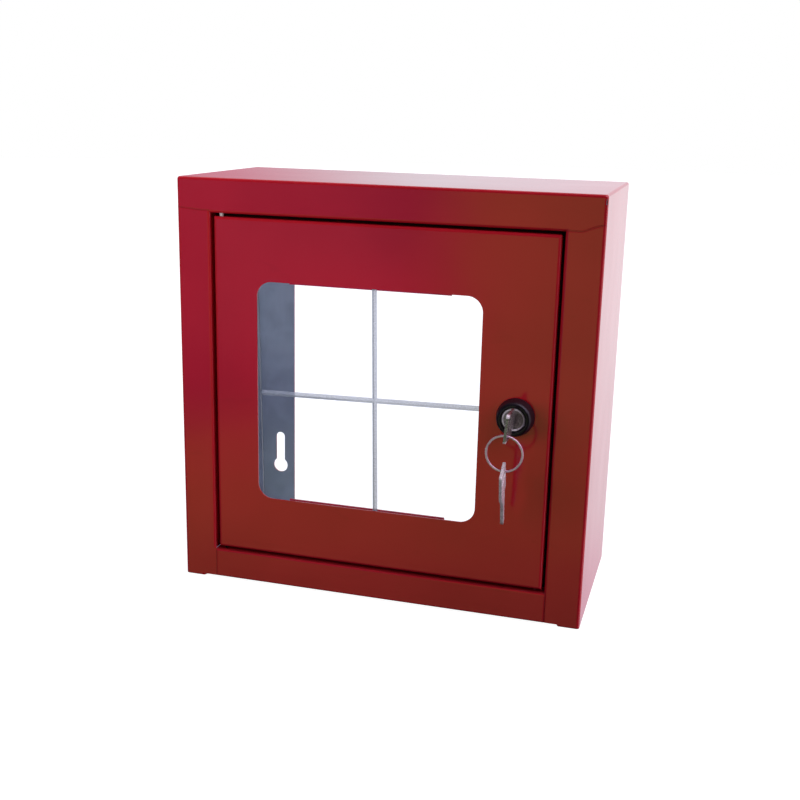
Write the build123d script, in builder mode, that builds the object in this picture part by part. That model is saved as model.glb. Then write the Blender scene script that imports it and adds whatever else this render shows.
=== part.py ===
from build123d import *
import math
import os

os.makedirs("parts", exist_ok=True)

# ---------------------------------------------------------------- dimensions
width = 300.0          # outer width of the box
height = 298.0         # outer height, base tabs included
depth = 140.0          # outer depth, wall plane to front face
sheet = 1.0            # sheet steel thickness
bend_out = 2.0         # outside bend radius
bend_in = 1.0          # inside bend radius
fold_tight = 0.8       # outside radius of the folded base tabs

open_left, open_right = 25.0, 274.2      # door opening, from the left side
open_bottom, open_top = 23.0, 273.65     # door opening, from the base
lip_depth = 12.2                         # return lips of the frame
stop_w = 8.0                             # stop flanges behind the door's edges
tab_left, tab_right = 16.2, 283.6        # inner ends of the base tabs
base = -0.65                             # underside of the tabs
rail_base = 0.5                          # underside of the bottom panel, which lies on the tabs
rail_left, rail_right = 25.3, 274.9      # joints between stiles and bottom rail

door_left, door_right = 27.8, 272.1
door_bottom, door_top = 24.9, 271.4
door_return = 8.8
win_left, win_right = 60.1, 222.5
win_bottom, win_top = 67.8, 227.8
win_radius = 11.0

hinge_x, hinge_y = 32.5, 4.0             # hinge line, from left side and front
pin_d = 3.0
pin_clear = 0.05                         # radial running clearance in the door

flange = 33.65                           # back flanges beside the open back
top_flange = 12.0
key_head_d, key_slot_w = 12.5, 7.6       # wall keyholes
key_x = 21.0                             # keyhole centre from each side
key_low, key_high = 46.0, 236.0          # head hole heights
key_rise = 29.4                          # head hole centre to end of slot

pane_w, pane_h, pane_t = 171.0, 172.0, 2.0
pane_cx, pane_cz, pane_tilt = 147.3, 148.7, 1.2
pane_y = 1.3
retain_left, retain_right = 83.3, 200.0

lock_x, lock_z = 248.0, 148.0
key_angle = 5.0                          # plug and key stand 5 degrees clockwise
plug_r = 6.0
cam_len = 33.0

# the origin is on the wall plane, at the middle of the keyhole pattern
ox, oy, oz = width / 2, depth, (key_low + key_high) / 2


def fx(v):
    return v - ox


def fy(v):
    return v - oy


def fz(v):
    return v - oz


def block(x0, x1, y0, y1, z0, z1, mode=Mode.ADD):
    """Rectangular block between box coordinates, added to the open part."""
    with BuildSketch(Plane.XY.offset(fz(z0))) as area:
        with Locations((fx((x0 + x1) / 2), fy((y0 + y1) / 2))):
            Rectangle(x1 - x0, y1 - y0)
    extrude(area.sketch, amount=z1 - z0, mode=mode)


def front_plane(y):
    """Plane facing the front at depth y; local x is +X and local y is +Z."""
    return Plane(origin=(0, fy(y), 0), x_dir=(1, 0, 0), z_dir=(0, -1, 0))


def disc(x, z, y0, y1, r, mode=Mode.ADD):
    """Round bar along Y between depths y0 and y1."""
    with BuildSketch(front_plane(y1)) as area:
        with Locations((fx(x), fz(z))):
            Circle(r)
    extrude(area.sketch, amount=y1 - y0, mode=mode)


def upright(x, y, z0, z1, r, mode=Mode.ADD):
    """Round bar along Z between heights z0 and z1."""
    with BuildSketch(Plane.XY.offset(fz(z0))) as area:
        with Locations((fx(x), fy(y))):
            Circle(r)
    extrude(area.sketch, amount=z1 - z0, mode=mode)


def near(value, target):
    return abs(value - target) < 0.02


def edges_along(part, axis, x=None, y=None, z=None, longer=3.0):
    """Straight edges along an axis whose centre lies at the given box coordinates."""
    found = ShapeList()
    for e in part.edges().filter_by(axis):
        c = e.center()
        if e.length < longer:
            continue
        if x is not None and not near(c.X, fx(x)):
            continue
        if y is not None and not near(c.Y, fy(y)):
            continue
        if z is not None and not near(c.Z, fz(z)):
            continue
        found.append(e)
    return found


def save(builder, name):
    builder.part.label = name
    export_step(builder.part, f"parts/{name}.step")
    return builder.part


# ------------------------------------------------------------------- casing
with BuildPart() as outer_form:
    block(0, width, 0, depth, base, height)
    fillet(outer_form.edges().filter_by(Axis.Z), bend_out + 0.1)
    fillet(outer_form.faces().sort_by(Axis.Z)[-1].edges(), bend_out)
    fillet(outer_form.faces().sort_by(Axis.Z)[0].edges(), fold_tight)

with BuildPart() as inner_form:
    block(sheet, width - sheet, sheet, depth - sheet, base + sheet, height - sheet)
    fillet(inner_form.edges().filter_by(Axis.Z), bend_in + 0.1)
    fillet(inner_form.faces().sort_by(Axis.Z)[-1].edges(), bend_in)

with BuildPart() as casing_shell:
    add(outer_form.part)
    add(inner_form.part, mode=Mode.SUBTRACT)
    # door opening and the gap that the bottom rail fills
    block(open_left, open_right, -2, 3, open_bottom, open_top, Mode.SUBTRACT)
    block(rail_left, rail_right, -2, 3, -2, open_bottom, Mode.SUBTRACT)
    # between the base tabs and the rail the stiles end level with the rail
    with BuildSketch(front_plane(3)):
        for s, x_tab, x_rail in ((1, tab_left, rail_left), (-1, tab_right, rail_right)):
            with BuildLine():
                Polyline(
                    (fx(x_tab - s * 1.0), fz(-2)), (fx(x_tab - s * 1.0), fz(base)), (fx(x_tab + s * 1.6), fz(rail_base)),
                    (fx(x_rail + s * 0.5), fz(rail_base)), (fx(x_rail + s * 0.5), fz(-2)),
                    close=True,
                )
            make_face()
    extrude(amount=5, mode=Mode.SUBTRACT)
    # base: only a round-ended tab stays folded under each side
    with BuildSketch(Plane.XY.offset(fz(-1.6))):
        with Locations((0, fy(depth / 2))):
            Rectangle(width + 4, depth + 4)
        with Locations((fx((tab_left - 30) / 2), fy(depth / 2))):
            RectangleRounded(tab_left + 30, depth, 4, mode=Mode.SUBTRACT)
        with Locations((fx((tab_right + width + 30) / 2), fy(depth / 2))):
            RectangleRounded(width + 30 - tab_right, depth, 4, mode=Mode.SUBTRACT)
    extrude(amount=2.5, mode=Mode.SUBTRACT)
    # open back between the flanges, with a short flange left at the top
    block(flange, width - flange, depth - 3, depth + 2, -2, height - top_flange, Mode.SUBTRACT)
    for x in (flange, width - flange - 0.4):
        block(x, x + 0.4, depth - 2, depth + 2, height - top_flange - 1, height - 3, Mode.SUBTRACT)
    # return lips round the opening
    block(open_left - sheet, open_left, 0, lip_depth, open_bottom + 0.1, open_top + sheet)
    block(open_right, open_right + sheet, 0, lip_depth, open_bottom + 0.1, open_top + sheet)
    block(open_left - sheet, open_right + sheet, 0, lip_depth, open_top, open_top + sheet)
    # the lips' inner ends turn inwards as stop flanges behind the door's edges
    y_stop = lip_depth - sheet
    block(open_left - sheet, open_left + stop_w, y_stop, lip_depth, open_bottom + 0.1, open_top + sheet)
    block(open_right - stop_w, open_right + sheet, y_stop, lip_depth, open_bottom + 0.1, open_top + sheet)
    block(open_left - sheet, open_right + sheet, y_stop, lip_depth, open_top - stop_w, open_top + sheet)
    fillet(
        edges_along(casing_shell, Axis.Z, x=open_left, y=0)
        + edges_along(casing_shell, Axis.Z, x=open_right, y=0)
        + edges_along(casing_shell, Axis.X, y=0, z=open_top),
        bend_out,
    )
    fillet(
        edges_along(casing_shell, Axis.Z, x=open_left - sheet, y=sheet)
        + edges_along(casing_shell, Axis.Z, x=open_right + sheet, y=sheet)
        + edges_along(casing_shell, Axis.X, y=sheet, z=open_top + sheet),
        bend_in,
    )
    # slits where the separate lips meet at the upper corners
    for x in (open_left - sheet - 0.5, open_right + 0.3):
        block(x, x + sheet + 0.2, 4.0, y_stop - 1.2, open_top - 0.4, open_top + sheet + 0.5, Mode.SUBTRACT)
    # short slot left open in the bend at the upper right corner
    block(298.75, 299.55, -1, 2.4, 291.4, 295.2, Mode.SUBTRACT)
    # hole for the upper hinge pin
    upright(hinge_x, hinge_y, open_top - 1, open_top + 2, pin_d / 2, Mode.SUBTRACT)
    # keyholes: round head hole below, narrow slot above
    with BuildSketch(front_plane(depth + 1)):
        for x in (key_x, width - key_x):
            for z in (key_low, key_high):
                with Locations((fx(x), fz(z))):
                    Circle(key_head_d / 2)
                with Locations((fx(x), fz(z + (key_rise - key_slot_w / 2) / 2))):
                    Rectangle(key_slot_w, key_rise - key_slot_w / 2)
                with Locations((fx(x), fz(z + key_rise - key_slot_w / 2))):
                    Circle(key_slot_w / 2)
    extrude(amount=4, mode=Mode.SUBTRACT)
save(casing_shell, "casing_shell")

rail_gap = 0.03
with BuildPart() as bottom_panel:
    block(2.2, width - 2.2, 2.3, depth - 2.3, rail_base, rail_base + sheet)
    block(rail_left + rail_gap, rail_right - rail_gap, 0, 30, rail_base, rail_base + sheet)
    block(rail_left + rail_gap, rail_right - rail_gap, 0, sheet, rail_base, open_bottom)
    block(rail_left + rail_gap, rail_right - rail_gap, 0, lip_depth, open_bottom - sheet, open_bottom)
    block(open_left + stop_w + 0.5, open_right - stop_w - 0.5, lip_depth - sheet, lip_depth, open_bottom - sheet, open_bottom + stop_w)
    block(flange + 0.3, width - flange - 0.3, depth - 20, depth, rail_base, rail_base + sheet)
    block(flange + 0.3, width - flange - 0.3, depth - sheet, depth, rail_base, 1 + top_flange)
    fillet(
        edges_along(bottom_panel, Axis.X, y=0, z=rail_base)
        + edges_along(bottom_panel, Axis.X, y=depth, z=rail_base),
        1.2,
    )
    fillet(
        edges_along(bottom_panel, Axis.X, y=0, z=open_bottom),
        bend_out - 0.05,
    )
    fillet(
        edges_along(bottom_panel, Axis.X, y=sheet, z=rail_base + sheet)
        + edges_along(bottom_panel, Axis.X, y=depth - sheet, z=rail_base + sheet),
        0.25,
    )
    fillet(edges_along(bottom_panel, Axis.X, y=sheet, z=open_bottom - sheet), bend_in)
    upright(hinge_x, hinge_y, open_bottom - 3, open_bottom + 2, pin_d / 2, Mode.SUBTRACT)
save(bottom_panel, "bottom_panel")

# weld beads, each a small low mound on the metal
bead_sites = [
    (299.05, 0.75, 291.0, 0.62), (299.15, 0.80, 289.9, 0.55), (299.10, 0.72, 288.7, 0.60),
    (299.20, 0.85, 287.3, 0.52), (299.12, 0.78, 285.8, 0.56), (299.2, 0.82, 284.0, 0.50),
    (6.5, 0.42, 276.5, 0.50), (8.6, 0.42, 275.9, 0.48), (291.5, 0.42, 276.3, 0.48),
    (26.0, 0.42, 276.0, 0.48),
]
with BuildPart() as corner_welds:
    for bx, by, bz, br in bead_sites:
        with Locations((fx(bx), fy(by), fz(bz))):
            Sphere(br)
    # only what stands on the sheet is left
    add(outer_form.part, mode=Mode.SUBTRACT)
save(corner_welds, "corner_welds")

pin_head_d = 4.1
with BuildPart() as upper_hinge_pin:
    upright(hinge_x, hinge_y, 266.0, open_top + sheet, pin_d / 2)
    upright(hinge_x, hinge_y, open_top + sheet, open_top + sheet + 1.2, pin_head_d / 2)
    chamfer(upper_hinge_pin.faces().sort_by(Axis.Z)[0].edges(), 0.4)
    fillet(upper_hinge_pin.faces().sort_by(Axis.Z)[-1].edges(), 0.4)
save(upper_hinge_pin, "upper_hinge_pin")

with BuildPart() as lower_hinge_pin:
    upright(hinge_x, hinge_y, open_bottom - sheet, 31.0, pin_d / 2)
    upright(hinge_x, hinge_y, open_bottom - sheet - 1.2, open_bottom - sheet, pin_head_d / 2)
    chamfer(lower_hinge_pin.faces().sort_by(Axis.Z)[-1].edges(), 0.4)
    fillet(lower_hinge_pin.faces().sort_by(Axis.Z)[0].edges(), 0.4)
save(lower_hinge_pin, "lower_hinge_pin")

# --------------------------------------------------------------------- door
with BuildPart() as door_hollow:
    block(door_left + sheet, door_right - sheet, sheet, door_return + 5, door_bottom + sheet, door_top - sheet)
    fillet(
        edges_along(door_hollow, Axis.Z, y=sheet) + edges_along(door_hollow, Axis.X, y=sheet),
        bend_in,
    )

with BuildPart() as door_panel:
    block(door_left, door_right, 0, door_return, door_bottom, door_top)
    fillet(
        edges_along(door_panel, Axis.Z, y=0) + edges_along(door_panel, Axis.X, y=0),
        bend_out,
    )
    add(door_hollow.part, mode=Mode.SUBTRACT)
    # window and the two-flat lock hole
    with BuildSketch(front_plane(3)):
        with Locations((fx((win_left + win_right) / 2), fz((win_bottom + win_top) / 2))):
            RectangleRounded(win_right - win_left, win_top - win_bottom, win_radius)
    extrude(amount=5, mode=Mode.SUBTRACT)
    with BuildSketch(front_plane(3)):
        with Locations((fx(lock_x), fz(lock_z))):
            Circle(9.3)
            Rectangle(16.0, 30.0, mode=Mode.INTERSECT)
    extrude(amount=5, mode=Mode.SUBTRACT)
    # hinge holes
    upright(hinge_x, hinge_y, door_bottom - 1, door_bottom + 2, pin_d / 2 + pin_clear, Mode.SUBTRACT)
    upright(hinge_x, hinge_y, door_top - 2, door_top + 1, pin_d / 2 + pin_clear, Mode.SUBTRACT)
    # open notches where the four returns meet
    for x0 in (door_left - 0.5, door_right - 1.4):
        for z0 in (door_bottom - 0.5, door_top - 1.4):
            block(x0, x0 + 1.9, 2.6, door_return + 1, z0, z0 + 1.9, Mode.SUBTRACT)
save(door_panel, "door_panel")

ca, sa = math.cos(math.radians(pane_tilt)), math.sin(math.radians(pane_tilt))
pane_x_dir, pane_z_dir = (ca, 0, sa), (-sa, 0, ca)
pane_rear = pane_y + pane_t
groove_v, groove_h, groove_d = 3.5, 3.8, 0.7
with BuildPart() as break_pane:
    with BuildSketch(Plane(origin=(fx(pane_cx), fy(pane_rear), fz(pane_cz)), x_dir=pane_x_dir, z_dir=(0, -1, 0))):
        RectangleRounded(pane_w, pane_h, 1.0)
    extrude(amount=pane_t)
    # scored cross in the rear face, so that the pane snaps into four
    start = (fx(pane_cx) - pane_z_dir[0] * 100, fy(pane_rear), fz(pane_cz) - pane_z_dir[2] * 100)
    with BuildSketch(Plane(origin=start, x_dir=pane_x_dir, z_dir=pane_z_dir)):
        with BuildLine():
            Polyline((-groove_v / 2, 0.01), (groove_v / 2, 0.01), (0.25, -groove_d), (-0.25, -groove_d), close=True)
        make_face()
    extrude(amount=200, mode=Mode.SUBTRACT)
    start = (fx(pane_cx) - pane_x_dir[0] * 100, fy(pane_rear), fz(pane_cz) - pane_x_dir[2] * 100)
    with BuildSketch(Plane(origin=start, x_dir=pane_z_dir, z_dir=pane_x_dir)):
        with BuildLine():
            Polyline((-groove_h / 2, -0.01), (groove_h / 2, -0.01), (0.25, groove_d), (-0.25, groove_d), close=True)
        make_face()
    extrude(amount=200, mode=Mode.SUBTRACT)
save(break_pane, "break_pane")

stud_xs = (100.0, 183.0)
stud_low, stud_high = 49.0, 247.5
side_plane = Plane(origin=(fx(retain_left), 0, 0), x_dir=(0, 1, 0), z_dir=(1, 0, 0))

with BuildPart() as bottom_pane_retainer:
    with BuildSketch(side_plane):
        with BuildLine():
            Polyline(
                (fy(1), fz(40)), (fy(2), fz(40)), (fy(2), fz(59.9)), (fy(4.6), fz(59.9)),
                (fy(4.6), fz(68.0)), (fy(3.6), fz(68.0)), (fy(3.6), fz(60.9)), (fy(1), fz(60.9)),
                close=True,
            )
        make_face()
    extrude(amount=retain_right - retain_left)
    fillet(
        edges_along(bottom_pane_retainer, Axis.X, y=4.6, z=59.9)
        + edges_along(bottom_pane_retainer, Axis.X, y=1, z=60.9),
        0.8,
    )
    for x in stud_xs:
        disc(x, stud_low, 0, 5, 2.15, Mode.SUBTRACT)
save(bottom_pane_retainer, "bottom_pane_retainer")

with BuildPart() as top_pane_retainer:
    with BuildSketch(side_plane):
        with BuildLine():
            Polyline(
                (fy(1), fz(256.5)), (fy(2), fz(256.5)), (fy(2), fz(237.9)), (fy(4.6), fz(237.9)),
                (fy(4.6), fz(226.5)), (fy(3.6), fz(226.5)), (fy(3.6), fz(236.9)), (fy(1), fz(236.9)),
                close=True,
            )
        make_face()
    extrude(amount=retain_right - retain_left)
    fillet(
        edges_along(top_pane_retainer, Axis.X, y=4.6, z=237.9)
        + edges_along(top_pane_retainer, Axis.X, y=1, z=236.9),
        0.8,
    )
    for x in stud_xs:
        disc(x, stud_high, 0, 5, 2.15, Mode.SUBTRACT)
save(top_pane_retainer, "top_pane_retainer")

with BuildPart() as pane_studs:
    for x in stud_xs:
        for z in (stud_low, stud_high):
            disc(x, z, 1.0, 9.0, 2.0)
    chamfer(pane_studs.edges().group_by(Axis.Y)[-1], 0.4)
save(pane_studs, "pane_studs")

with BuildPart() as pane_nuts:
    with BuildSketch(front_plane(5.2)):
        for x in stud_xs:
            for z in (stud_low, stud_high):
                with Locations((fx(x), fz(z))):
                    RegularPolygon(3.5, 6, major_radius=False)
                    Circle(2.0, mode=Mode.SUBTRACT)
    extrude(amount=3.2)
    for x in stud_xs:
        for z in (stud_low, stud_high):
            disc(x, z, 4.95, 5.3, 2.3, Mode.SUBTRACT)
save(pane_nuts, "pane_nuts")

# --------------------------------------------------------------------- lock
lock_axis = Axis((fx(lock_x), 0, fz(lock_z)), (0, 1, 0))
# local x is the radius, local y the depth
lock_section = Plane(origin=(fx(lock_x), fy(0), fz(lock_z)), x_dir=(1, 0, 0), z_dir=(0, 0, 1))

with BuildPart() as lock_rosette:
    with BuildSketch(lock_section):
        with BuildLine():
            Polyline((8.25, -8.4), (8.25, -1.7), (12.1, -1.7), (12.1, 0), (13.05, 0), (13.05, -1.0))
            Spline((13.05, -1.0), (12.3, -5.9), (9.4, -9.5), tangents=[(0, -1), (-1, 0)])
            Spline((9.4, -9.5), (8.25, -8.4), tangents=[(-1, 0), (0, 1)])
        make_face()
    revolve(axis=lock_axis)
save(lock_rosette, "lock_rosette")

barrel_end = 12.0
with BuildPart() as lock_housing:
    with BuildSketch(lock_section):
        with BuildLine():
            # half-round rim at the front, standing round the plug's face
            ThreePointArc((6.65, -8.3), (7.25, -8.9), (7.85, -8.3))
            Polyline(
                (7.85, -8.3), (7.85, -1.5), (12.0, -1.5), (12.0, 0), (9.0, 0), (9.0, 12.8),
                (6.5, 12.8), (6.5, barrel_end), (plug_r + 0.05, barrel_end), (plug_r + 0.05, -6.6),
                (6.65, -6.6), (6.65, -8.3),
            )
        make_face()
    revolve(axis=lock_axis)
    # two flats on the barrel
    for s in (-1, 1):
        block(lock_x + s * 10.9 - 3, lock_x + s * 10.9 + 3, 0.0, 13.5, lock_z - 12, lock_z + 12, Mode.SUBTRACT)
    # broached grooves for the wafers
    block(lock_x - 2.6, lock_x + 2.6, -6.4, 13.0, lock_z - 7.0, lock_z + 7.0, Mode.SUBTRACT)
    # window in the end collar for the stop tab, from 172 to 283 degrees clockwise from the top
    with BuildSketch(front_plane(13.0)):
        with BuildLine():
            r_out = 14.0
            pts = [(fx(lock_x), fz(lock_z))]
            for a in (172, 200, 228, 256, 283):
                t = math.radians(a)
                pts.append((fx(lock_x) + r_out * math.sin(t), fz(lock_z) + r_out * math.cos(t)))
            Polyline(*pts, close=True)
        make_face()
    extrude(amount=13.0 - barrel_end, mode=Mode.SUBTRACT)
save(lock_housing, "lock_housing")

with BuildPart() as lock_washer:
    with BuildSketch(front_plane(1.8)):
        with Locations((fx(lock_x), fz(lock_z))):
            Circle(11.0)
            with PolarLocations(11.0, 14):
                Rectangle(1.6, 1.5)
            Circle(9.05, mode=Mode.SUBTRACT)
    extrude(amount=0.8)
save(lock_washer, "lock_washer")

with BuildPart() as lock_nut:
    with BuildSketch(front_plane(6.8)):
        with Locations((fx(lock_x), fz(lock_z))):
            RegularPolygon(11.0, 6, major_radius=False)
            Circle(9.0, mode=Mode.SUBTRACT)
    extrude(amount=5.0)
    with BuildSketch(lock_section) as nut_bevel:
        with BuildLine():
            Polyline((11.0, 6.8), (13.5, 6.8), (13.5, 5.3), close=True)
        make_face()
    revolve(axis=lock_axis, mode=Mode.SUBTRACT)
save(lock_nut, "lock_nut")

# plug, wafers, cam and key all stand turned by key_angle
kc, ks = math.cos(math.radians(key_angle)), math.sin(math.radians(key_angle))
up_dir = (ks, 0, kc)        # the plug's own up
side_dir = (kc, 0, -ks)     # the plug's own right


def turned_plane(y):
    """Plane facing the front at depth y, turned with the plug, centred on its axis."""
    return Plane(origin=(fx(lock_x), fy(y), fz(lock_z)), x_dir=side_dir, z_dir=(0, -1, 0))


tail_end = 14.9
wafer_ys = (-5.4, -2.8, -0.2, 2.4, 5.0)
with BuildPart() as lock_plug:
    with BuildSketch(turned_plane(barrel_end)):
        Circle(plug_r)
    extrude(amount=barrel_end + 8.2)
    with BuildSketch(turned_plane(-6.7)):
        Circle(6.6)
    extrude(amount=1.5)
    fillet(lock_plug.edges().group_by(Axis.Y)[0], 0.25)
    with BuildSketch(turned_plane(tail_end)):
        Circle(4.0)
        Rectangle(6.4, 12, mode=Mode.INTERSECT)
    extrude(amount=tail_end - barrel_end)
    # oval recess in the face, and the keyway in it
    with BuildSketch(turned_plane(-7.5)):
        SlotOverall(9.6, 5.6, rotation=90)
    extrude(amount=2, mode=Mode.SUBTRACT)
    with BuildSketch(turned_plane(10.9)):
        Rectangle(2.6, 7.2)
    extrude(amount=25, mode=Mode.SUBTRACT)
    # wafer slots with spring pockets
    for wy in wafer_ys:
        with BuildSketch(turned_plane(wy + 1.1)):
            Rectangle(5.0, 14.0)
            with Locations((3.3, -0.95)):
                Rectangle(1.8, 5.1)
        extrude(amount=1.2, mode=Mode.SUBTRACT)
    # tapped hole for the cam screw
    with BuildSketch(turned_plane(tail_end + 1)):
        Circle(2.0)
    extrude(amount=tail_end + 1 - 11.5, mode=Mode.SUBTRACT)
save(lock_plug, "lock_plug")

with BuildPart() as wafers:
    for wy in wafer_ys:
        with BuildSketch(turned_plane(wy + 1.05)):
            Rectangle(4.8, 10.8)
            with Locations((3.15, 0.8)):
                Rectangle(1.5, 1.2)
            Rectangle(2.8, 7.4, mode=Mode.SUBTRACT)
        extrude(amount=1.0)
save(wafers, "wafers")

with BuildPart() as wafer_springs:
    for wy in wafer_ys:
        base = (
            fx(lock_x) + side_dir[0] * 3.3 + up_dir[0] * -3.3,
            fy(wy + 0.5),
            fz(lock_z) + side_dir[2] * 3.3 + up_dir[2] * -3.3,
        )
        with BuildSketch(Plane(origin=base, x_dir=side_dir, z_dir=up_dir)):
            Circle(0.42)
            Circle(0.22, mode=Mode.SUBTRACT)
        extrude(amount=3.35)
save(wafer_springs, "wafer_springs")

with BuildPart() as stop_washer:
    with BuildSketch(turned_plane(12.9)):
        Circle(6.2)
        with Locations((0, -6.6)):
            Rectangle(2.2, 2.4)
        with BuildSketch(mode=Mode.SUBTRACT):
            Circle(4.0)
            Rectangle(6.4, 12, mode=Mode.INTERSECT)
    extrude(amount=0.75)
save(stop_washer, "stop_washer")

with BuildPart() as cam:
    with BuildSketch(turned_plane(14.9)):
        Circle(8.0)
        with Locations((0, cam_len / 2 - 3)):
            Rectangle(13.0, cam_len - 6)
        with Locations((0, cam_len - 6.5)):
            Circle(6.5)
        with BuildSketch(mode=Mode.SUBTRACT):
            Circle(4.0)
            Rectangle(6.4, 12, mode=Mode.INTERSECT)
    extrude(amount=2.0)
    fillet(cam.edges().filter_by(GeomType.CIRCLE).group_by(Axis.Y)[0].sort_by(SortBy.LENGTH)[-1], 0.4)
save(cam, "cam")

with BuildPart() as cam_washer:
    with BuildSketch(turned_plane(15.7)):
        Circle(4.6)
        Circle(2.05, mode=Mode.SUBTRACT)
    extrude(amount=0.8)
save(cam_washer, "cam_washer")

with BuildPart() as cam_screw:
    with BuildSketch(turned_plane(18.3)):
        Circle(3.5)
    extrude(amount=2.6)
    fillet(cam_screw.faces().sort_by(Axis.Y)[-1].edges(), 0.9)
    with BuildSketch(turned_plane(15.8)):
        Circle(2.0)
    extrude(amount=4.2)
    # cross recess
    with BuildSketch(turned_plane(18.4)):
        Rectangle(3.6, 0.9)
        Rectangle(0.9, 3.6)
    extrude(amount=1.5, mode=Mode.SUBTRACT)
save(cam_screw, "cam_screw")

# --------------------------------------------------------------------- keys
bow_end, bow_neck, shank_end, key_tip = -34.3, -13.9, -9.5, 10.4
bow_w, shank_w, blade_w, key_t = 19.6, 10.5, 6.6, 2.0
slot_len, slot_w, rim = 15.2, 5.8, 3.4


def key_shape(plane):
    """A flat key in the open part: local x runs from bow to tip, local y across the key."""
    with BuildSketch(plane) as bow:
        with Locations(((bow_end + bow_neck) / 2, 0)):
            RectangleRounded(bow_neck - bow_end, bow_w, 1.7)
        with Locations((bow_end + rim + slot_w / 2, 0)):
            RectangleRounded(slot_w, slot_len, 1.3, mode=Mode.SUBTRACT)
    return bow.sketch


def key_blade(plane):
    with BuildSketch(plane) as blade:
        with Locations(((bow_neck + shank_end) / 2 - 0.5, 0)):
            RectangleRounded(shank_end - bow_neck + 1.0, shank_w, 0.45)
        with BuildLine():
            h = blade_w / 2
            Polyline(
                (shank_end - 1, -h), (key_tip - 2.6, -h), (key_tip, -h + 2.1), (key_tip, -h + 3.0),
                (key_tip - 1.9, h - 0.9), (key_tip - 3.0, h - 0.3), (key_tip - 4.2, h - 1.5),
                (key_tip - 5.4, h - 0.4), (key_tip - 6.8, h - 1.9), (key_tip - 8.2, h - 0.7),
                (key_tip - 9.6, h - 1.6), (key_tip - 10.8, h - 0.3), (key_tip - 12.2, h - 1.4),
                (key_tip - 13.6, h), (shank_end - 1, h), close=True,
            )
        make_face()
    return blade.sketch


def key_groove(plane):
    with BuildSketch(plane) as groove:
        with Locations(((shank_end + 2.5 + key_tip) / 2, -0.7)):
            Rectangle(key_tip - shank_end - 2.5 + 2, 1.3)
    return groove.sketch


key_plane = Plane(origin=(fx(lock_x), fy(0), fz(lock_z)), x_dir=(0, 1, 0), z_dir=side_dir)
with BuildPart() as inserted_key:
    extrude(key_shape(key_plane), amount=key_t / 2, both=True)
    fillet(
        inserted_key.faces().sort_by(Axis.X)[0].edges() + inserted_key.faces().sort_by(Axis.X)[-1].edges(),
        0.35,
    )
    extrude(key_blade(key_plane), amount=key_t / 2, both=True)
    extrude(key_groove(key_plane.offset(key_t / 2 - 0.5)), amount=1, mode=Mode.SUBTRACT)
    extrude(key_groove(key_plane.offset(-key_t / 2 - 0.5)), amount=1, mode=Mode.SUBTRACT)
save(inserted_key, "inserted_key")

ring_y = -26.5
ring_x, ring_z = 246.25, 129.45
ring_in, ring_out, ring_t = 11.4, 12.9, 1.6
ring_section = Plane(origin=(fx(ring_x), fy(ring_y), fz(ring_z)), x_dir=(1, 0, 0), z_dir=(0, 0, 1))
with BuildPart() as split_ring:
    with BuildSketch(ring_section):
        with Locations(((ring_in + ring_out) / 2, 0)):
            RectangleRounded(ring_out - ring_in, ring_t, 0.5)
        # the line between the two turns
        with Locations((ring_out, 0), (ring_in, 0)):
            Rectangle(0.24, 0.16, rotation=0, mode=Mode.SUBTRACT)
    revolve(axis=Axis((fx(ring_x), 0, fz(ring_z)), (0, 1, 0)))
save(split_ring, "split_ring")

# the spare hangs from the ring by one side of its slot, so its weight tilts it
spare_tilt, spare_turn = math.radians(18.2), math.radians(4.1)
wire_z = ring_z - (ring_in + ring_out) / 2
hang_side = 4.28                # from the wire to the key's centre line
tc, ts = math.cos(spare_turn), math.sin(spare_turn)
sc, ss = math.cos(spare_tilt), math.sin(spare_tilt)
down = (-ts * ss, tc * ss, -sc)           # from the bow's end to the tip
across = (-ts * sc, tc * sc, ss)          # across the key, away from the front
bow_mid = [w - d * (rim + 1.0) - a * hang_side for w, d, a in zip((fx(ring_x), fy(ring_y), fz(wire_z)), down, across)]
spare_plane = Plane(
    origin=tuple(b - d * bow_end for b, d in zip(bow_mid, down)),
    x_dir=down,
    z_dir=(tc, ts, 0),
)
with BuildPart() as spare_key:
    extrude(key_shape(spare_plane), amount=key_t / 2, both=True)
    fillet(
        spare_key.faces().sort_by(Axis.X)[0].edges() + spare_key.faces().sort_by(Axis.X)[-1].edges(),
        0.35,
    )
    extrude(key_blade(spare_plane), amount=key_t / 2, both=True)
    extrude(key_groove(spare_plane.offset(key_t / 2 - 0.5)), amount=1, mode=Mode.SUBTRACT)
    extrude(key_groove(spare_plane.offset(-key_t / 2 - 0.5)), amount=1, mode=Mode.SUBTRACT)
save(spare_key, "spare_key")

sp = spare_key.part.center(CenterOf.MASS)
print("spare centre of mass from the wire", sp.X - fx(ring_x), sp.Y - fy(ring_y), sp.Z - fz(wire_z))
print("spare box", spare_key.part.bounding_box())
print("ring pivot", fx(247.27), fy(ring_y), fz(139.60))
print("spare pivot", fx(ring_x), fy(ring_y), fz(wire_z))
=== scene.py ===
import bpy
import bmesh
import math
import numpy as np
from mathutils import Matrix, Vector


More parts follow.
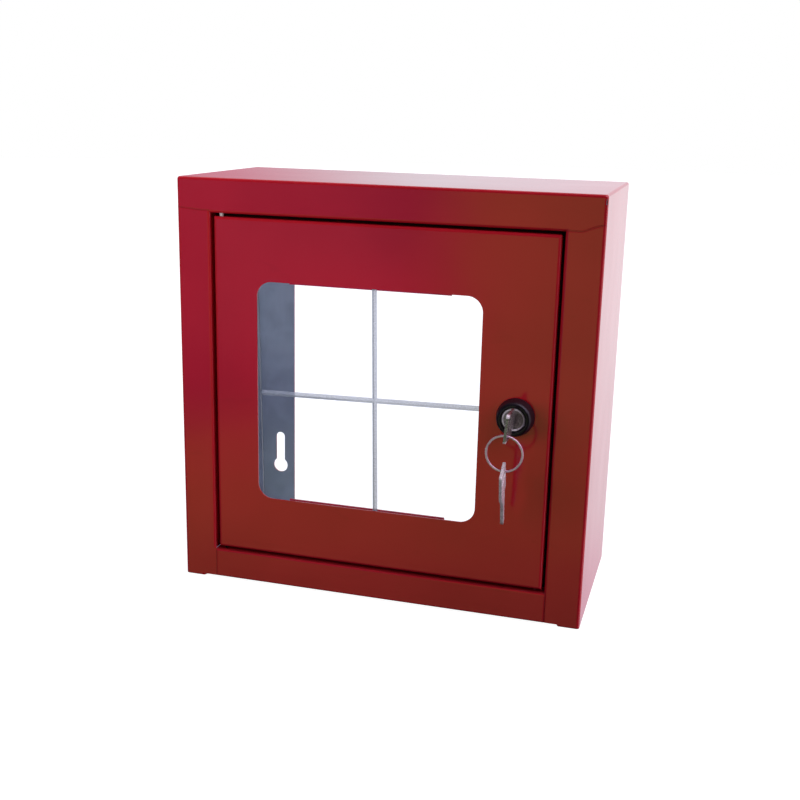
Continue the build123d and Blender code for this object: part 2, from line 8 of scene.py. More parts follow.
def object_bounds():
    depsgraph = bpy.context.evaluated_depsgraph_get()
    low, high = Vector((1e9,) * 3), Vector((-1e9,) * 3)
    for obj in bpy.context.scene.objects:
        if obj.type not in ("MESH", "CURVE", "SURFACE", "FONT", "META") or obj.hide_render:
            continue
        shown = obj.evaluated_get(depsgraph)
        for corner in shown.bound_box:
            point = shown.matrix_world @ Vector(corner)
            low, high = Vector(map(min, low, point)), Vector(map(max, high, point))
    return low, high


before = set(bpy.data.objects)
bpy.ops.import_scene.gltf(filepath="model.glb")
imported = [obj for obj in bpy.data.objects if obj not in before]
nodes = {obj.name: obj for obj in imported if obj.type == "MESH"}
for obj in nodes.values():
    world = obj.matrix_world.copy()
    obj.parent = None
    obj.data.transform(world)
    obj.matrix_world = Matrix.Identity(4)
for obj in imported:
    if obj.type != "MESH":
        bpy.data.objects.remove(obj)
cad_lo, cad_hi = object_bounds()
scene = bpy.context.scene
scene.view_settings.view_transform = "Standard"
scene.view_settings.look = "None"
scene.view_settings.exposure = 0.0
scene.view_settings.gamma = 1.0

# box coordinates (mm, from the left, front and base) to the row frame (m)
OX, OY, OZ = 150.0, 140.0, 141.0


def P(x, y, z):
    return Vector(((x - OX) / 1000, (y - OY) / 1000, (z - OZ) / 1000))


# ------------------------------------------------------------------ node helpers
class Tree:
    """A material's node tree with short calls. Positions are object coordinates in mm, in the box frame."""

    def __init__(self, name):
        self.m = bpy.data.materials.new(name)
        self.m.use_nodes = True
        self.t = self.m.node_tree
        self.t.nodes.clear()
        self.out = self.t.nodes.new("ShaderNodeOutputMaterial")
        self._pos = None
        self._xyz = None

    def node(self, kind, **props):
        n = self.t.nodes.new(kind)
        for k, v in props.items():
            setattr(n, k, v)
        return n

    def set(self, socket, value):
        if isinstance(value, bpy.types.NodeSocket):
            self.t.links.new(value, socket)
        elif isinstance(value, (tuple, list, Vector)):
            v = list(value)
            if socket.type == "RGBA" and len(v) == 3:
                v = v + [1.0]
            socket.default_value = v
        else:
            socket.default_value = value

    def math(self, op, a, b=None, c=None, clamp=False):
        n = self.node("ShaderNodeMath", operation=op, use_clamp=clamp)
        self.set(n.inputs[0], a)
        if b is not None:
            self.set(n.inputs[1], b)
        if c is not None:
            self.set(n.inputs[2], c)
        return n.outputs[0]

    def vmath(self, op, a, b=None, scale=None):
        n = self.node("ShaderNodeVectorMath", operation=op)
        self.set(n.inputs[0], a)
        if b is not None:
            self.set(n.inputs[1], b)
        if scale is not None:
            self.set(n.inputs[3], scale)
        return n.outputs["Value"] if op in ("DOT_PRODUCT", "LENGTH", "DISTANCE") else n.outputs[0]

    def pos(self):
        """Object position in mm, box coordinates."""
        if self._pos is None:
            tc = self.node("ShaderNodeTexCoord")
            s = self.vmath("SCALE", tc.outputs["Object"], scale=1000.0)
            self._pos = self.vmath("ADD", s, (OX, OY, OZ))
        return self._pos

    def xyz(self):
        if self._xyz is None:
            n = self.node("ShaderNodeSeparateXYZ")
            self.set(n.inputs[0], self.pos())
            self._xyz = (n.outputs[0], n.outputs[1], n.outputs[2])
        return self._xyz

    def combine(self, x, y, z):
        n = self.node("ShaderNodeCombineXYZ")
        for i, v in enumerate((x, y, z)):
            self.set(n.inputs[i], v)
        return n.outputs[0]

    def noise(self, vec, scale, detail=3.0, rough=0.5, distortion=0.0):
        """Noise in 0..1; scale is per mm."""
        n = self.node("ShaderNodeTexNoise")
        self.set(n.inputs["Vector"], vec)
        n.inputs["Scale"].default_value = scale
        n.inputs["Detail"].default_value = detail
        n.inputs["Roughness"].default_value = rough
        n.inputs["Distortion"].default_value = distortion
        return n.outputs["Fac"]

    def voronoi(self, vec, scale, feature="F1"):
        n = self.node("ShaderNodeTexVoronoi", feature=feature)
        self.set(n.inputs["Vector"], vec)
        n.inputs["Scale"].default_value = scale
        return n.outputs["Distance"]

    def ramp(self, v, lo, hi, a=0.0, b=1.0, smooth=True):
        n = self.node("ShaderNodeMapRange", interpolation_type="SMOOTHSTEP" if smooth else "LINEAR")
        self.set(n.inputs["Value"], v)
        n.inputs["From Min"].default_value = lo
        n.inputs["From Max"].default_value = hi
        n.inputs["To Min"].default_value = a
        n.inputs["To Max"].default_value = b
        return n.outputs[0]

    def mix(self, fac, a, b, blend="MIX"):
        n = self.node("ShaderNodeMix", data_type="RGBA", blend_type=blend)
        self.set(n.inputs[0], fac)
        self.set(n.inputs[6], a)
        self.set(n.inputs[7], b)
        return n.outputs[2]

    def fmix(self, fac, a, b):
        n = self.node("ShaderNodeMix", data_type="FLOAT")
        self.set(n.inputs[0], fac)
        self.set(n.inputs[2], a)
        self.set(n.inputs[3], b)
        return n.outputs[0]

    def bump(self, height, distance, strength=1.0, normal=None):
        """distance in metres for a height of 1."""
        n = self.node("ShaderNodeBump")
        n.inputs["Strength"].default_value = strength
        n.inputs["Distance"].default_value = distance
        self.set(n.inputs["Height"], height)
        if normal is not None:
            self.set(n.inputs["Normal"], normal)
        return n.outputs[0]

    def principled(self, **values):
        n = self.node("ShaderNodeBsdfPrincipled")
        for k, v in values.items():
            self.set(n.inputs[k.replace("_", " ")], v)
        return n

    def finish(self, shader):
        self.t.links.new(shader, self.out.inputs["Surface"])
        return self.m


def lin(r, g, b):
    """sRGB 0..255 to linear."""
    out = []
    for c in (r, g, b):
        c /= 255.0
        out.append(c / 12.92 if c <= 0.04045 else ((c + 0.055) / 1.055) ** 2.4)
    return tuple(out)


RED = (0.57, 0.0125, 0.025)
RED_DEEP = (0.52, 0.0105, 0.0215)
GREY = (0.60, 0.68, 0.76)
GREY_DARK = (0.51, 0.585, 0.66)


# ------------------------------------------------------------------ coated sheet
def shell_seams(t):
    """Dressed weld lines between the stiles and the top rail: two joints running across the stiles."""
    x, y, z = t.xyz()
    left = t.ramp(x, 1.0, 20.0, 276.5, 275.35)
    right = t.math("ADD", t.ramp(x, 283.0, 299.0, 274.2, 278.6), 0.0)
    line = t.node("ShaderNodeMix", data_type="FLOAT")
    t.set(line.inputs[0], t.math("GREATER_THAN", x, 150.0))
    t.set(line.inputs[2], left)
    t.set(line.inputs[3], right)
    d = t.math("ABSOLUTE", t.math("SUBTRACT", z, line.outputs[0]))
    near = t.ramp(d, 0.15, 0.85, 1.0, 0.0)
    edge = t.math("ABSOLUTE", t.math("SUBTRACT", x, 149.6))
    near = t.math("MULTIPLY", near, t.math("GREATER_THAN", edge, 124.7))
    return t.math("MULTIPLY", near, t.math("LESS_THAN", y, 1.4))


def foot_seams(t):
    """Shaded joints between the stiles and the bottom rail."""
    x, y, z = t.xyz()
    d = t.math("MINIMUM", t.math("ABSOLUTE", t.math("SUBTRACT", x, 25.3)), t.math("ABSOLUTE", t.math("SUBTRACT", x, 274.9)))
    near = t.ramp(d, 0.1, 0.9, 1.0, 0.0)
    near = t.math("MULTIPLY", near, t.math("LESS_THAN", z, 22.6))
    return t.math("MULTIPLY", near, t.math("LESS_THAN", y, 1.4))


def both_seams(t):
    return t.math("MAXIMUM", shell_seams(t), foot_seams(t))


def coated(name, outside, stop=None, seams=None, coat_rough=0.07, painted_light_red=None):
    """Coated steel sheet: glossy red outside, blue-grey primer inside. outside(tree) gives 1 on the red side;
    without it the whole piece is red."""
    t = Tree(name)
    p = t.pos()
    out = outside(t) if outside else None
    # colour drift of the coat: broad and faint, with a little fine grain
    broad = t.noise(p, 0.011, 2.0, 0.5)
    fine = t.noise(p, 0.9, 4.0, 0.6)
    red = t.mix(t.ramp(broad, 0.35, 0.65), RED_DEEP, RED)
    red = t.mix(t.math("MULTIPLY", t.ramp(fine, 0.45, 0.75), 0.10), red, (0.64, 0.016, 0.032))
    # handling marks: short faint rubbed patches
    rub = t.noise(t.vmath("MULTIPLY", p, (1.0, 1.0, 2.6)), 0.035, 5.0, 0.62, 0.6)
    rub_mask = t.ramp(rub, 0.60, 0.72)
    red = t.mix(t.math("MULTIPLY", rub_mask, 0.10), red, (0.30, 0.010, 0.014))
    cloud = t.noise(p, 0.055, 4.0, 0.55, 0.3)
    streak = t.noise(t.vmath("MULTIPLY", p, (2.2, 1.0, 0.18)), 0.25, 3.0, 0.6)
    grey = t.mix(t.ramp(cloud, 0.35, 0.68), GREY_DARK, GREY)
    grey = t.mix(t.math("MULTIPLY", t.ramp(streak, 0.45, 0.8), 0.16), grey, (0.68, 0.76, 0.88))
    red_rough = t.ramp(fine, 0.3, 0.7, 0.30, 0.40)
    if seams:
        seam = seams(t)
        red = t.mix(t.math("MULTIPLY", seam, 0.38), red, (0.16, 0.006, 0.012))
    # painted light: the retainers' lips seen through the window are mixed towards a lighter red for light the shaded
    # lips don't get
    if painted_light_red:
        x, y, z = t.xyz()
        lip = t.math("MULTIPLY", t.ramp(z, 62.0, 64.0), t.ramp(z, 226.0, 229.0, 1.0, 0.0))
        red = t.mix(t.math("MULTIPLY", lip, 0.8), red, painted_light_red)
    colour = red if out is None else t.mix(out, grey, red)
    # painted shade: the stop flanges' front faces, and the rail's upper bend, are mixed towards near-black for the
    # shade in the door gaps
    if stop:
        back = stop(t)
        colour = t.mix(back, colour, (0.020, 0.006, 0.005))
    rough = red_rough if out is None else t.fmix(out, t.ramp(cloud, 0.3, 0.7, 0.42, 0.55), red_rough)
    # orange peel, long sheet waves, and a fine grain on the backer
    peel = t.noise(p, 0.55, 2.0, 0.5)
    wave = t.noise(p, 0.016, 1.0, 0.4)
    h = t.math("ADD", t.math("MULTIPLY", peel, 0.020), t.math("MULTIPLY", wave, 1.0))
    if seams:
        h = t.math("SUBTRACT", h, t.math("MULTIPLY", seam, 0.22))
    normal = t.bump(h, 0.00035)
    s = t.principled(
        Base_Color=colour, Roughness=rough, Specular_IOR_Level=0.0, Normal=normal,
        Coat_Weight=1.0 if out is None else t.fmix(out, 0.06, 1.0), Coat_Roughness=coat_rough, Coat_IOR=1.5,
        Coat_Normal=normal,
    )
    return t.finish(s.outputs[0])


def near_plane(t, v, at, half=0.5):
    """1 where v lies within half of at."""
    return t.math("LESS_THAN", t.math("ABSOLUTE", t.math("SUBTRACT", v, at)), half)


def shell_outside(t):
    x, y, z = t.xyz()
    m = t.math("MINIMUM", x, t.math("SUBTRACT", 300.0, x))
    m = t.math("MINIMUM", m, t.math("MINIMUM", y, t.math("SUBTRACT", 140.0, y)))
    m = t.math("MINIMUM", m, t.math("MINIMUM", t.math("ADD", z, 0.65), t.math("SUBTRACT", 298.0, z)))
    skin = t.math("LESS_THAN", m, 0.95)
    front = t.math("LESS_THAN", y, 13.0)
    lips = t.math("MAXIMUM", near_plane(t, x, 25.0), near_plane(t, x, 274.2))
    lips = t.math("MAXIMUM", lips, near_plane(t, z, 273.65))
    return t.math("MAXIMUM", skin, t.math("MULTIPLY", front, lips))


def shell_stop_painted_shade(t):
    """The front faces of the stop flanges behind the door's edges, where the coat is painted near-black as painted
    shade.
    """
    x, y, z = t.xyz()
    stop = t.math("MULTIPLY", near_plane(t, y, 11.2, 0.35), near_plane(t, x, 149.6, 125.4))
    return t.math("MULTIPLY", stop, t.math("LESS_THAN", z, 274.5))


def rail_outside(t):
    x, y, z = t.xyz()
    m = t.math("MINIMUM", y, t.math("SUBTRACT", 140.0, y))
    m = t.math("MINIMUM", m, t.math("SUBTRACT", z, 0.5))
    skin = t.math("LESS_THAN", m, 0.95)
    lip = t.math("MULTIPLY", t.math("LESS_THAN", y, 13.0), near_plane(t, z, 23.0))
    return t.math("MAXIMUM", skin, lip)


def rail_stop_painted_shade(t):
    x, y, z = t.xyz()
    # painted shade: the stop flange's front face is mixed to near-black
    stop = t.math("MULTIPLY", near_plane(t, y, 11.2, 0.35), t.math("GREATER_THAN", z, 22.5))
    # painted shade along the upper bend, in the gap under the door, mixed partway to near-black
    painted_bend_shade = t.math("MULTIPLY", t.ramp(z, 21.9, 22.5, 0.0, 0.55), t.ramp(z, 23.2, 24.0, 1.0, 0.0))
    return t.math("MAXIMUM", stop, t.math("MULTIPLY", painted_bend_shade, t.math("LESS_THAN", y, 12.5)))


def door_outside(t):
    x, y, z = t.xyz()
    m = t.math("MINIMUM", t.math("SUBTRACT", x, 27.8), t.math("SUBTRACT", 272.1, x))
    m = t.math("MINIMUM", m, t.math("MINIMUM", t.math("SUBTRACT", z, 24.9), t.math("SUBTRACT", 271.4, z)))
    m = t.math("MINIMUM", m, y)
    return t.math("LESS_THAN", m, 0.95)


M_shell = coated("coat_shell", shell_outside, shell_stop_painted_shade, both_seams)
M_rail = coated("coat_rail", rail_outside, rail_stop_painted_shade, foot_seams, 0.09)
M_door = coated("coat_door", door_outside, None, None, 0.11)
M_red = coated("coat_red", None)
# the retainer strips carry painted light on their lips
M_strip_painted_light = coated("coat_strip_painted_light", None, painted_light_red=(0.95, 0.030, 0.10))


# ------------------------------------------------------------------ pane
def pane_material():
    t = Tree("pane_clear")
    p = t.pos()
    a = math.radians(1.2)
    c = (147.3, 0.0, 148.7)
    d = t.vmath("SUBTRACT", p, c)
    u = t.vmath("DOT_PRODUCT", d, (math.cos(a), 0, math.sin(a)))
    w = t.vmath("DOT_PRODUCT", d, (-math.sin(a), 0, math.cos(a)))
    x, y, z = t.xyz()
    on_v = t.math("LESS_THAN", t.math("ABSOLUTE", u), 1.72)
    on_h = t.math("LESS_THAN", t.math("ABSOLUTE", w), 1.87)
    rear = t.math("GREATER_THAN", y, 2.0)
    cut = t.math("MULTIPLY", t.math("MAXIMUM", on_v, on_h), rear)
    grain = t.noise(p, 1.6, 4.0, 0.7)
    tone = t.mix(t.ramp(grain, 0.35, 0.65), lin(188, 201, 222), lin(224, 233, 246))
    frost = t.principled(Base_Color=tone, Roughness=0.55, Specular_IOR_Level=0.4,
                         Normal=t.bump(grain, 0.0002))
    veil = t.node("ShaderNodeBsdfTransparent")
    veil.inputs[0].default_value = (0.97, 0.985, 1.0, 1.0)
    smudge = t.noise(p, 0.03, 4.0, 0.6)
    gloss = t.node("ShaderNodeBsdfGlossy")
    t.set(gloss.inputs["Roughness"], t.ramp(smudge, 0.3, 0.8, 0.02, 0.09))
    fres = t.node("ShaderNodeFresnel")
    fres.inputs["IOR"].default_value = 1.49
    clear = t.node("ShaderNodeMixShader")
    t.set(clear.inputs[0], t.math("MULTIPLY", fres.outputs[0], 0.6))
    t.t.links.new(veil.outputs[0], clear.inputs[1])
    t.t.links.new(gloss.outputs[0], clear.inputs[2])
    both = t.node("ShaderNodeMixShader")
    t.set(both.inputs[0], t.math("MULTIPLY", cut, t.ramp(grain, 0.3, 0.7, 0.55, 0.85)))
    t.t.links.new(clear.outputs[0], both.inputs[1])
    t.t.links.new(frost.outputs[0], both.inputs[2])
    # the sawn edges are matt and take the shade of the sheet
    rim_u = t.math("GREATER_THAN", t.math("ABSOLUTE", u), 85.3)
    rim_w = t.math("GREATER_THAN", t.math("ABSOLUTE", w), 85.8)
    sawn = t.principled(Base_Color=t.mix(grain, (0.20, 0.26, 0.30), (0.34, 0.41, 0.46)), Roughness=0.6,
                        Specular_IOR_Level=0.3)
    whole = t.node("ShaderNodeMixShader")
    t.set(whole.inputs[0], t.math("MULTIPLY", t.math("MAXIMUM", rim_u, rim_w), 0.9))
    t.t.links.new(both.outputs[0], whole.inputs[1])
    t.t.links.new(sawn.outputs[0], whole.inputs[2])
    return t.finish(whole.outputs[0])


M_pane = pane_material()


# ------------------------------------------------------------------ metals
def metal(name, colour, dark, rough, grain_scale=(1, 1, 1), grain=3.0, bump=0.00004, spots=0.25, metallic=1.0):
    """Plated or bare metal with fine directional grain, dull patches and small spots."""
    t = Tree(name)
    p = t.pos()
    g = t.noise(t.vmath("MULTIPLY", p, grain_scale), grain, 3.0, 0.65)
    patch = t.noise(p, 0.35, 4.0, 0.6)
    spot = t.ramp(t.noise(p, 2.4, 2.0, 0.5), 0.62, 0.74)
    c = t.mix(t.ramp(patch, 0.35, 0.7), dark, colour)
    c = t.mix(t.math("MULTIPLY", spot, spots), c, tuple(0.35 * v for v in dark))
    r = t.math("ADD", t.ramp(g, 0.3, 0.7, rough * 0.7, rough * 1.3), t.math("MULTIPLY", patch, 0.10), clamp=True)
    s = t.principled(Base_Color=c, Metallic=metallic, Roughness=r, Normal=t.bump(g, bump))
    return t.finish(s.outputs[0])


M_zinc = metal("zinc_plate", (0.62, 0.63, 0.60), (0.42, 0.43, 0.42), 0.34, (1, 1, 1), 1.4, 0.00005)
# painted highlight: the upper hinge pin is near-white and mostly matt, standing in for the glint on it
M_pin_painted_highlight = metal("pin_painted_highlight", (1.0, 0.98, 0.97), (0.90, 0.88, 0.87), 0.22, (1, 1, 0.1), 5.0, 0.00003, 0.1, 0.35)
# painted shade: the lower hinge pin, the same steel, is near-black so it reads as shade in the gap
M_pin_painted_shade = metal("pin_painted_shade", (0.10, 0.06, 0.05), (0.05, 0.03, 0.03), 0.5, (1, 1, 0.1), 5.0, 0.00003)
M_spring = metal("spring_wire", (0.55, 0.55, 0.57), (0.34, 0.34, 0.36), 0.28, (1, 1, 3), 5.0, 0.00003)
M_brass = metal("wafer_brass_metal", (0.80, 0.58, 0.27), (0.55, 0.38, 0.17), 0.30, (1, 0.2, 1), 5.0, 0.00003)
# painted reflection: the nickel ring's pinkish tint stands in for the red surroundings it reflects
M_ring = metal("ring_nickel_pink_reflection", (1.0, 0.74, 0.92), (0.84, 0.58, 0.74), 0.17, (1, 1, 1), 3.0, 0.00002, 0.20, 0.7)


def turned_metal(name, colour, dark, rough, centre, pitch, bump, metallic=1.0):
    """Metal turned on a lathe about an axis along Y: fine rings, with patches and pits."""
    t = Tree(name)
    p = t.pos()
    d = t.vmath("SUBTRACT", p, (centre[0], 0.0, centre[1]))
    flat = t.vmath("MULTIPLY", d, (1.0, 0.0, 1.0))
    r = t.vmath("LENGTH", flat)
    x, y, z = t.xyz()
    rings = t.noise(t.combine(t.math("MULTIPLY", r, pitch), t.math("MULTIPLY", y, pitch), 0.0), 1.0, 3.0, 0.7)
    patch = t.noise(p, 0.5, 4.0, 0.62)
    pits = t.ramp(t.noise(p, 3.2, 2.0, 0.5), 0.62, 0.72)
    c = t.mix(t.ramp(patch, 0.35, 0.68), dark, colour)
    c = t.mix(t.math("MULTIPLY", pits, 0.45), c, (0.06, 0.055, 0.05))
    rr = t.ramp(rings, 0.3, 0.7, rough * 0.6, rough * 1.5)
    s = t.principled(Base_Color=c, Metallic=metallic, Roughness=rr, Normal=t.bump(rings, bump))
    return t.finish(s.outputs[0])


# painted highlight: the plated rim is near-white and mostly matt, standing in for its bright highlights
M_rim = turned_metal("lock_rim_painted_highlight", (1.0, 0.97, 0.98), (0.86, 0.82, 0.84), 0.22, (248.0, 148.0), 7.0, 0.00001, 0.15)
M_plug = turned_metal("lock_nickel", (0.62, 0.57, 0.54), (0.26, 0.24, 0.225), 0.40, (248.0, 148.0), 7.0, 0.00008, 0.6)


def key_material(name, dull, bright, metallic, painted_highlight_mask):
    """Nickel-plated brass key: stamped faces with grinding lines, brass showing where the plating is worn.
    painted_highlight_mask(tree) gives 1 where a painted highlight is put on the bow's ends: near-white and
    non-metallic."""
    t = Tree(name)
    p = t.pos()
    x, y, z = t.xyz()
    lines = t.noise(t.combine(t.math("MULTIPLY", x, 0.6), t.math("MULTIPLY", y, 0.25), t.math("MULTIPLY", z, 4.0)), 1.6, 3.0, 0.7)
    patch = t.noise(p, 0.55, 5.0, 0.65, 0.4)
    c = t.mix(t.ramp(patch, 0.35, 0.65), dull, bright)
    worn = t.ramp(t.noise(p, 1.1, 4.0, 0.7), 0.58, 0.70)
    c = t.mix(t.math("MULTIPLY", worn, 0.18), c, (0.60, 0.48, 0.36))
    # painted highlight: where the mask is 1 the key is near-white and non-metallic, standing in for glints on the
    # bow's ends
    if painted_highlight_mask:
        ends = painted_highlight_mask(t)
        c = t.mix(ends, c, (1.0, 0.96, 0.95))
        metallic = t.fmix(ends, metallic, 0.0)
    r = t.math("ADD", t.ramp(lines, 0.3, 0.7, 0.16, 0.30), t.math("MULTIPLY", patch, 0.12), clamp=True)
    s = t.principled(Base_Color=c, Metallic=metallic, Roughness=r, Normal=t.bump(lines, 0.00006))
    return t.finish(s.outputs[0])


# painted highlight mask: the top and bottom of the inserted key's outer bow end
def bow_painted_highlight(t):
    x, y, z = t.xyz()
    top = t.ramp(z, 155.2, 156.0)
    low = t.ramp(z, 140.2, 139.2)
    return t.math("MULTIPLY", t.math("LESS_THAN", y, -31.5), t.math("MAXIMUM", top, low))


# painted shade and painted light: both keys are the same nickel-plated brass; the inserted one is painted dark grey,
# the spare near-white and mostly matt
M_key_in = key_material("key_plate_in_painted_shade", (0.24, 0.225, 0.21), (0.46, 0.43, 0.41), 0.75, bow_painted_highlight)
M_key_spare = key_material("key_plate_spare_painted_light", (0.76, 0.72, 0.71), (0.99, 0.96, 0.95), 0.30, None)


def black_material():
    t = Tree("rosette_black")
    p = t.pos()
    haze = t.noise(p, 0.25, 4.0, 0.6)
    dust = t.ramp(t.noise(p, 2.6, 3.0, 0.6), 0.60, 0.72)
    c = t.mix(t.ramp(haze, 0.3, 0.7), (0.0065, 0.0045, 0.0075), (0.011, 0.008, 0.013))
    c = t.mix(t.math("MULTIPLY", dust, 0.10), c, (0.08, 0.07, 0.08))
    d = t.vmath("MULTIPLY", t.vmath("SUBTRACT", p, (248.0, 0.0, 148.0)), (1.0, 0.0, 1.0))
    worn = t.ramp(t.vmath("LENGTH", d), 9.6, 11.6)
    s = t.principled(Base_Color=c, Roughness=t.fmix(worn, t.ramp(haze, 0.3, 0.7, 0.20, 0.27), 0.42), Specular_IOR_Level=0.5,
                     Normal=t.bump(t.noise(p, 1.2, 2.0, 0.5), 0.00003))
    return t.finish(s.outputs[0])


M_black = black_material()


WEAR = {
    "casing_shell": M_shell, "bottom_panel": M_rail, "corner_welds": M_red, "door_panel": M_door,
    "top_pane_retainer": M_strip_painted_light, "bottom_pane_retainer": M_strip_painted_light,
    "upper_hinge_pin": M_pin_painted_highlight, "lower_hinge_pin": M_pin_painted_shade,
    "break_pane": M_pane, "pane_studs": M_zinc, "pane_nuts": M_zinc,
    "lock_rosette": M_black, "lock_housing": M_rim, "lock_washer": M_zinc, "lock_nut": M_zinc,
    "lock_plug": M_plug, "wafers": M_brass, "wafer_springs": M_spring, "stop_washer": M_zinc,
    "cam": M_zinc, "cam_washer": M_zinc, "cam_screw": M_zinc,
    "inserted_key": M_key_in, "spare_key": M_key_spare, "split_ring": M_ring,
}
for name, material in WEAR.items():
    o = nodes[name]
    if o.data.materials:
        for i in range(len(o.data.materials)):
            o.data.materials[i] = material
    else:
        o.data.materials.append(material)


# ------------------------------------------------------------------ floor, world, lights
def floor_material():
    t = Tree("floor_white")
    p = t.pos()
    n = t.noise(p, 0.02, 3.0, 0.5)
    c = t.mix(n, (0.28, 0.28, 0.28), (0.31, 0.31, 0.31))
    s = t.principled(Base_Color=c, Roughness=0.9, Specular_IOR_Level=0.1,
                     Emission_Color=(1.0, 1.0, 1.0), Emission_Strength=0.96)
    return t.finish(s.outputs[0])


mesh = bpy.data.meshes.new("floor")
bm = bmesh.new()
bmesh.ops.create_circle(bm, cap_ends=True, radius=6.0, segments=96)
bm.to_mesh(mesh)
bm.free()
floor = bpy.data.objects.new("floor", mesh)
floor.location = (0, 0, cad_lo.z - 0.0002)
scene.collection.objects.link(floor)
mesh.materials.append(floor_material())
floor.visible_glossy = False
floor.visible_diffuse = False

# a dark card under the base, so the lower bends reflect the shade they stand in
card_mesh = bpy.data.meshes.new("card")
card_mesh.from_pydata([(-0.150, -0.140, 0), (0.150, -0.140, 0), (0.150, -0.001, 0), (-0.150, -0.001, 0)], [], [(0, 1, 2, 3)])
card = bpy.data.objects.new("card", card_mesh)
card.location = (0, 0, cad_lo.z - 0.0001)
scene.collection.objects.link(card)


def card_material():
    t = Tree("card_dark")
    n = t.noise(t.pos(), 0.05, 3.0, 0.5)
    s = t.principled(Base_Color=t.mix(n, (0.030, 0.026, 0.028), (0.045, 0.040, 0.042)), Roughness=0.9,
                     Specular_IOR_Level=0.1)
    return t.finish(s.outputs[0])


card_mesh.materials.append(card_material())
card.visible_camera = False
card.visible_diffuse = False

world = bpy.data.worlds.new("studio")
scene.world = world
world.use_nodes = True
wt = world.node_tree
wt.nodes.clear()


def wnode(kind, **props):
    n = wt.nodes.new(kind)
    for k, v in props.items():
        setattr(n, k, v)
    return n


def wlink(a, b):
    wt.links.new(a, b)


def direction(az, el):
    a, e = math.radians(az), math.radians(el)
    return (math.sin(a) * math.cos(e), math.cos(a) * math.cos(e), math.sin(e))


coord = wnode("ShaderNodeTexCoord")
gen = coord.outputs["Generated"]


def cone(az, el, inner, outer):
    """1 within inner degrees of a direction, 0 beyond outer. Azimuth 0 is +Y, 90 is +X."""
    n = wnode("ShaderNodeVectorMath", operation="DOT_PRODUCT")
    wlink(gen, n.inputs[0])
    n.inputs[1].default_value = direction(az, el)
    m = wnode("ShaderNodeMapRange", interpolation_type="SMOOTHSTEP")
    wlink(n.outputs["Value"], m.inputs["Value"])
    m.inputs["From Min"].default_value = math.cos(math.radians(outer))
    m.inputs["From Max"].default_value = math.cos(math.radians(inner))
    return m.outputs[0]


def wmix(fac, a, b):
    n = wnode("ShaderNodeMix", data_type="RGBA")
    for s, v in ((n.inputs[0], fac), (n.inputs[6], a), (n.inputs[7], b)):
        if isinstance(v, bpy.types.NodeSocket):
            wlink(v, s)
        elif isinstance(v, tuple):
            s.default_value = v + (1.0,)
        else:
            s.default_value = v
    return n.outputs[2]


def wmath(op, a, b):
    n = wnode("ShaderNodeMath", operation=op)
    for s, v in ((n.inputs[0], a), (n.inputs[1], b)):
        if isinstance(v, bpy.types.NodeSocket):
            wlink(v, s)
        else:
            s.default_value = v
    return n.outputs[0]


def band(v, lo, hi):
    """0 at lo and 1 at hi, smooth between them; hi may lie below lo."""
    m = wnode("ShaderNodeMapRange", interpolation_type="SMOOTHSTEP")
    flip = hi < lo
    wlink(v, m.inputs["Value"])
    m.inputs["From Min"].default_value = hi if flip else lo
    m.inputs["From Max"].default_value = lo if flip else hi
    m.inputs["To Min"].default_value = 1.0 if flip else 0.0
    m.inputs["To Max"].default_value = 0.0 if flip else 1.0
    return m.outputs[0]


sep = wnode("ShaderNodeSeparateXYZ")
wlink(gen, sep.inputs[0])
dx, dy, dz = sep.outputs[0], sep.outputs[1], sep.outputs[2]

# pale surroundings behind, pinker towards the floor and dimmer to the back left
light = wmix(band(dz, -0.02, 0.04), (1.16, 1.07, 1.14), (0.96, 0.86, 0.95))
light = wmix(band(dz, -0.14, -0.37), light, (0.95, 0.84, 0.92))
light = wmix(band(dz, -0.33, -0.42), light, (0.84, 0.61, 0.73))
light = wmix(cone(-40, 4, 16, 40), light, (0.80, 0.90, 0.97))
light = wmix(cone(-38, 4, 8, 24), light, (0.62, 0.28, 0.37))
light = wmix(band(dz, -0.60, -0.85), light, (0.10, 0.07, 0.08))
# the dim room in front of the door, warmer and lighter to the front right
front = wmix(wmath("MULTIPLY", band(dx, 0.02, 0.20), wmath("MULTIPLY", band(dz, -0.34, -0.22), band(dz, 0.55, 0.35))),
             (0.020, 0.018, 0.024), (0.06, 0.055, 0.04))
# in it the patch that the door mirrors to the camera: bluish to the left, yellowish to the right
upper = wmix(band(dx, -0.19, -0.27), (0.42, 0.58, 0.20),
             wmix(band(dz, -0.16, -0.06), (0.11, 0.11, 0.32), (0.15, 0.15, 0.40)))
lower = wmix(band(dz, -0.35, -0.42), wmix(band(dx, -0.17, -0.30), (0.36, 0.46, 0.14), (0.36, 0.48, 0.16)),
             (0.14, 0.29, 0.13))
patch = wmix(band(dz, -0.242, -0.317), upper, lower)
inside = wmath("MULTIPLY", band(dx, -0.58, -0.50), band(dx, -0.01, -0.07))
inside = wmath("MULTIPLY", inside, wmath("MULTIPLY", band(dz, -0.53, -0.46), band(dz, 0.03, -0.03)))
lp = wnode("ShaderNodeLightPath")
sharp = wmath("SUBTRACT", 1.0, lp.outputs["Is Diffuse Ray"])
front = wmix(wmath("MULTIPLY", inside, sharp), front, patch)
light = wmix(band(dy, 0.05, -0.12), light, front)
# bright sources that the turned, plated and bent parts pick up, high on the right
light = wmix(cone(104, 62, 12, 28), light, (2.9, 2.5, 3.2))
light = wmix(cone(109, 33, 9, 20), light, (3.4, 2.9, 4.0))
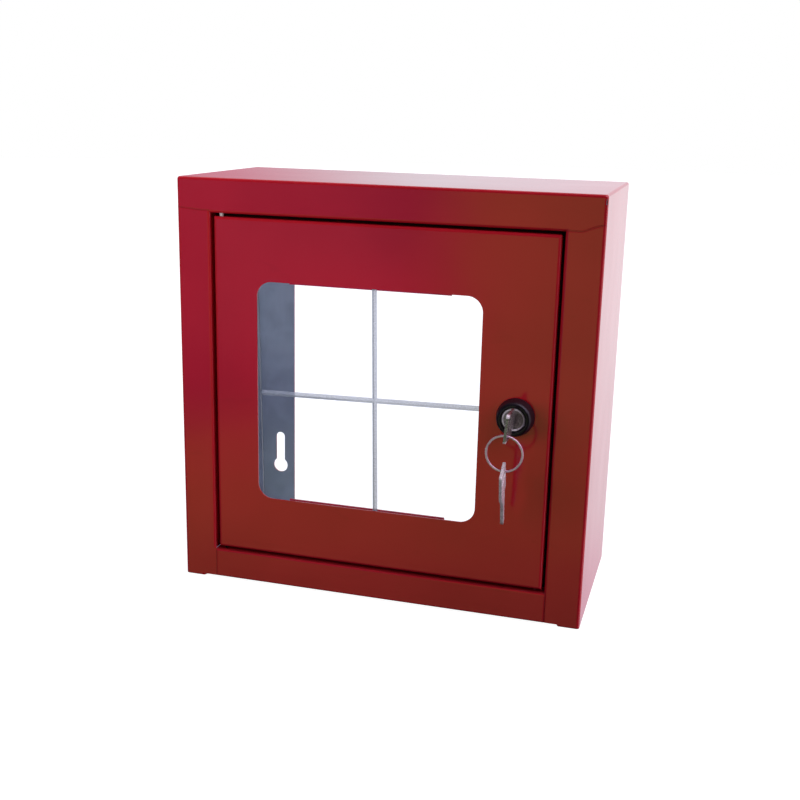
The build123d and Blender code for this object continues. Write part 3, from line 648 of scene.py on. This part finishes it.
# a pale strip level with the box to its right, seen only along the right-hand bends
strip = wmath("MULTIPLY", wmath("MULTIPLY", band(dy, -0.34, -0.24), band(dy, 0.10, 0.02)),
              wmath("MULTIPLY", band(dx, 0.70, 0.80), band(dz, -0.55, -0.40)))
strip = wmath("MULTIPLY", strip, band(dz, 0.30, 0.20))
light = wmix(strip, light, (1.3, 1.15, 1.25))
light = wmix(lp.outputs["Is Camera Ray"], light, (1.0, 1.0, 1.0))
bg = wnode("ShaderNodeBackground")
wlink(light, bg.inputs[0])
bg.inputs[1].default_value = 1.0
wo = wnode("ShaderNodeOutputWorld")
wlink(bg.outputs[0], wo.inputs[0])


def softbox(name, at, aim, size, power, colour=(1, 1, 1)):
    d = bpy.data.lights.new(name, "AREA")
    d.shape = "RECTANGLE"
    d.size, d.size_y = size
    d.energy = power
    d.color = colour
    o = bpy.data.objects.new(name, d)
    o.location = at
    o.rotation_mode = "QUATERNION"
    o.rotation_quaternion = (Vector(aim) - Vector(at)).to_track_quat("-Z", "Y")
    scene.collection.objects.link(o)
    return o


left = softbox("box_left", (-0.245, -0.478, 0.13), (-0.019, -0.14, 0.150), (0.34, 0.34), 0.445, (1.0, 0.98, 1.0))
left.data.spread = math.radians(128.0)
left.visible_glossy = False

# a narrow beam through the window on to the left back flange
d = bpy.data.lights.new("beam", "SPOT")
d.energy = 5.2
d.spot_size = math.radians(9.0)
d.spot_blend = 0.8
d.shadow_soft_size = 0.03
beam = bpy.data.objects.new("beam", d)
beam.location = (0.50, -0.80, 0.05)
beam.rotation_mode = "QUATERNION"
beam.rotation_quaternion = (Vector((-0.12, 0.0, 0.045)) - beam.location).to_track_quat("-Z", "Y")
scene.collection.objects.link(beam)
beam.visible_glossy = False

# ------------------------------------------------------------------ camera
cam_data = bpy.data.cameras.new("camera")
cam = bpy.data.objects.new("camera", cam_data)
scene.collection.objects.link(cam)
scene.camera = cam
cam_data.sensor_fit = "HORIZONTAL"
cam_data.sensor_width = 36.0
cam_data.lens = 36.0 * 1128.6 / 800.0
cam_data.clip_start, cam_data.clip_end = 0.01, 50.0
yaw, pitch, roll = (math.radians(v) for v in (15.961, 14.730, 1.366))
fwd = Vector((-math.sin(yaw) * math.cos(pitch), math.cos(yaw) * math.cos(pitch), -math.sin(pitch)))
right = Vector((math.cos(yaw), math.sin(yaw), 0.0))
up = right.cross(fwd)
r2 = right * math.cos(roll) + up * math.sin(roll)
u2 = -right * math.sin(roll) + up * math.cos(roll)
loc = Vector((0.22452, -0.86685, 0.20967))
cam.matrix_world = Matrix((
    (r2.x, u2.x, -fwd.x, loc.x),
    (r2.y, u2.y, -fwd.y, loc.y),
    (r2.z, u2.z, -fwd.z, loc.z),
    (0, 0, 0, 1),
))

bpy.context.view_layer.update()
